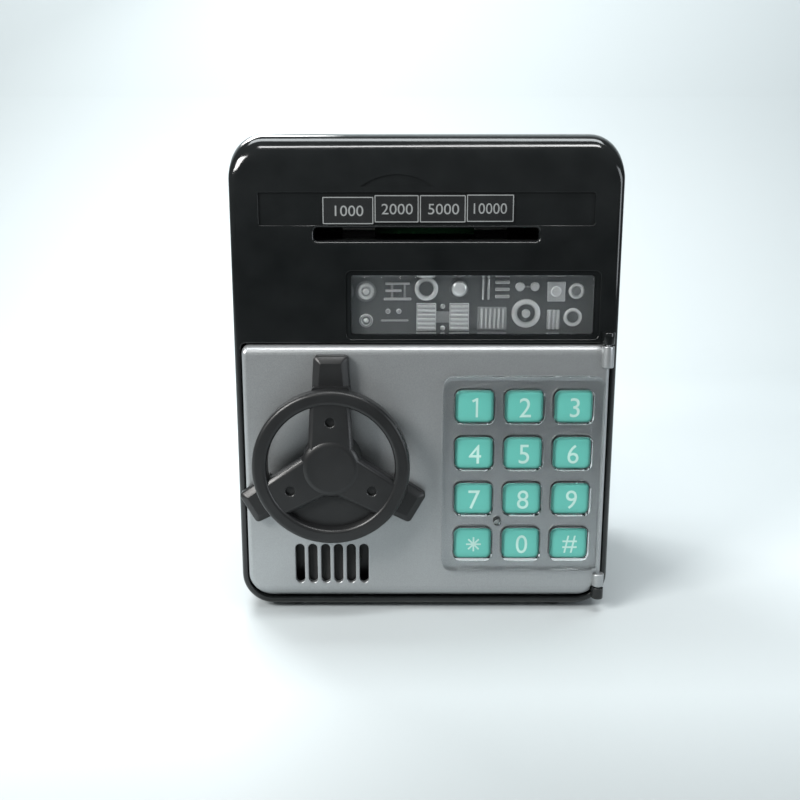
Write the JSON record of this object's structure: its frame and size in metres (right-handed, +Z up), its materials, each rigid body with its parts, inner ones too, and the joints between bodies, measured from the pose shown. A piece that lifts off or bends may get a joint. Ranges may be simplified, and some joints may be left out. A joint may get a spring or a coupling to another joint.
{
  "type": "toy atm savings bank",
  "caption": "Toy cash machine savings bank with a black cabinet, silver keypad door, three-lug turning handle, bill slot and relief window.",
  "frame": {"origin": "centre of the bounding box at the surface the feet stand on", "axes": "+X to the right seen from the front, +Y from the front to the back, +Z up"},
  "size_m": [0.14, 0.124, 0.178],
  "materials": {
    "gloss_black": "polished moulded black plastic",
    "satin_black": "satin moulded black plastic",
    "silver_paint": "silver metallic paint on plastic, semi-gloss",
    "key_teal": "satin moulded teal with pale printed numbers",
    "clear_plastic": "clear moulded styrene, polished",
    "relief_silver": "silver plated moulded relief",
    "label_black": "printed strip, grey outline and number on black",
    "foot_rubber": "matte black rubber",
    "screw_steel": "plated steel",
    "pinion_brass": "turned brass",
    "board_green": "green circuit board",
    "white_plastic": "natural white moulded gear plastic",
    "speaker_black": "black speaker cone and frame",
    "indicator_grey": "smoked indicator lens"
  },
  "bodies": {
    "cabinet": {"front_frame": "gloss_black", "body_shell": "gloss_black", "rear_cover": "satin_black", "rear_screw_1": "screw_steel", "rear_screw_2": "screw_steel", "rear_screw_3": "screw_steel", "rear_screw_4": "screw_steel", "foot_1": "foot_rubber", "foot_2": "foot_rubber", "foot_3": "foot_rubber", "foot_4": "foot_rubber", "window_lens": "clear_plastic", "relief_panel": "relief_silver", "value_label_1": "label_black", "value_label_2": "label_black", "value_label_3": "label_black", "value_label_4": "label_black", "bill_guide": "satin_black", "feed_motor": "screw_steel", "main_board": "board_green", "battery_box": "satin_black", "battery_spring": "screw_steel"},
    "feed_roll": {"feed_gear": "white_plastic", "feed_shaft": "screw_steel", "feed_roller_left": "foot_rubber", "feed_roller_right": "foot_rubber"},
    "pressure_roll": {"pressure_shaft": "screw_steel", "pressure_roller_left": "white_plastic", "pressure_roller_right": "white_plastic"},
    "motor_pinion": {"motor_pinion": "pinion_brass"},
    "battery_cover": {"battery_cover": "satin_black"},
    "door": {"door_skin": "silver_paint", "door_back": "satin_black", "keypad_bezel": "clear_plastic", "key_membrane": "foot_rubber", "keypad_board": "board_green", "speaker": "speaker_black", "indicator_lens": "indicator_grey", "hinge_pin_upper": "screw_steel", "hinge_pin_lower": "screw_steel", "lock_solenoid": "screw_steel"},
    "handle": {"handle_wheel": "satin_black", "handle_shaft": "screw_steel", "handle_cam": "white_plastic"},
    "latch_bolt": {"latch_bolt": "screw_steel"},
    "solenoid_plunger": {"solenoid_plunger": "screw_steel"},
    "key_1": {"key_1": "key_teal"},
    "key_2": {"key_2": "key_teal"},
    "key_3": {"key_3": "key_teal"},
    "key_4": {"key_4": "key_teal"},
    "key_5": {"key_5": "key_teal"},
    "key_6": {"key_6": "key_teal"},
    "key_7": {"key_7": "key_teal"},
    "key_8": {"key_8": "key_teal"},
    "key_9": {"key_9": "key_teal"},
    "key_star": {"key_star": "key_teal"},
    "key_0": {"key_0": "key_teal"},
    "key_hash": {"key_hash": "key_teal"}
  },
  "joints": [
    {"name": "door_swing", "type": "hinge", "parent": "cabinet", "child": "door", "pos_m": [0.066, -0.0486, 0.0545], "axis": [0, 0, 1], "range_deg": [0, 105]},
    {"name": "handle_turn", "type": "hinge", "parent": "door", "child": "handle", "pos_m": [-0.0343, -0.055, 0.061], "axis": [0, -1, 0], "range_deg": [0, 60]},
    {"name": "bolt_slide", "type": "slide", "parent": "door", "child": "latch_bolt", "axis": [-1, 0, 0], "range_m": [0, 0.005]},
    {"name": "plunger_slide", "type": "slide", "parent": "door", "child": "solenoid_plunger", "axis": [0, 0, 1], "range_m": [0, 0.004], "stiffness_N_per_m": 60},
    {"name": "feed_spin", "type": "hinge", "parent": "cabinet", "child": "feed_roll", "pos_m": [0, -0.02, 0.13645], "axis": [1, 0, 0], "continuous": true},
    {"name": "pressure_spin", "type": "hinge", "parent": "cabinet", "child": "pressure_roll", "pos_m": [0, -0.02, 0.14875], "axis": [1, 0, 0], "continuous": true},
    {"name": "motor_spin", "type": "hinge", "parent": "cabinet", "child": "motor_pinion", "pos_m": [-0.06, -0.00558, 0.12202], "axis": [1, 0, 0], "continuous": true},
    {"name": "battery_cover_lift", "type": "slide", "parent": "cabinet", "child": "battery_cover", "axis": [0, 1, 0], "range_m": [0, 0.03]},
    {"name": "press_1", "type": "slide", "parent": "door", "child": "key_1", "axis": [0, 1, 0], "range_m": [0, 0.0012], "stiffness_N_per_m": 400},
    {"name": "press_2", "type": "slide", "parent": "door", "child": "key_2", "axis": [0, 1, 0], "range_m": [0, 0.0012], "stiffness_N_per_m": 400},
    {"name": "press_3", "type": "slide", "parent": "door", "child": "key_3", "axis": [0, 1, 0], "range_m": [0, 0.0012], "stiffness_N_per_m": 400},
    {"name": "press_4", "type": "slide", "parent": "door", "child": "key_4", "axis": [0, 1, 0], "range_m": [0, 0.0012], "stiffness_N_per_m": 400},
    {"name": "press_5", "type": "slide", "parent": "door", "child": "key_5", "axis": [0, 1, 0], "range_m": [0, 0.0012], "stiffness_N_per_m": 400},
    {"name": "press_6", "type": "slide", "parent": "door", "child": "key_6", "axis": [0, 1, 0], "range_m": [0, 0.0012], "stiffness_N_per_m": 400},
    {"name": "press_7", "type": "slide", "parent": "door", "child": "key_7", "axis": [0, 1, 0], "range_m": [0, 0.0012], "stiffness_N_per_m": 400},
    {"name": "press_8", "type": "slide", "parent": "door", "child": "key_8", "axis": [0, 1, 0], "range_m": [0, 0.0012], "stiffness_N_per_m": 400},
    {"name": "press_9", "type": "slide", "parent": "door", "child": "key_9", "axis": [0, 1, 0], "range_m": [0, 0.0012], "stiffness_N_per_m": 400},
    {"name": "press_star", "type": "slide", "parent": "door", "child": "key_star", "axis": [0, 1, 0], "range_m": [0, 0.0012], "stiffness_N_per_m": 400},
    {"name": "press_0", "type": "slide", "parent": "door", "child": "key_0", "axis": [0, 1, 0], "range_m": [0, 0.0012], "stiffness_N_per_m": 400},
    {"name": "press_hash", "type": "slide", "parent": "door", "child": "key_hash", "axis": [0, 1, 0], "range_m": [0, 0.0012], "stiffness_N_per_m": 400}
  ],
  "couplings": [
    {"joint": "bolt_slide", "follows": "handle_turn", "m_per_rad": 0.0047746},
    {"joint": "motor_spin", "follows": "feed_spin", "ratio": -2.3333},
    {"joint": "pressure_spin", "follows": "feed_spin", "ratio": -1.1818}
  ]
}
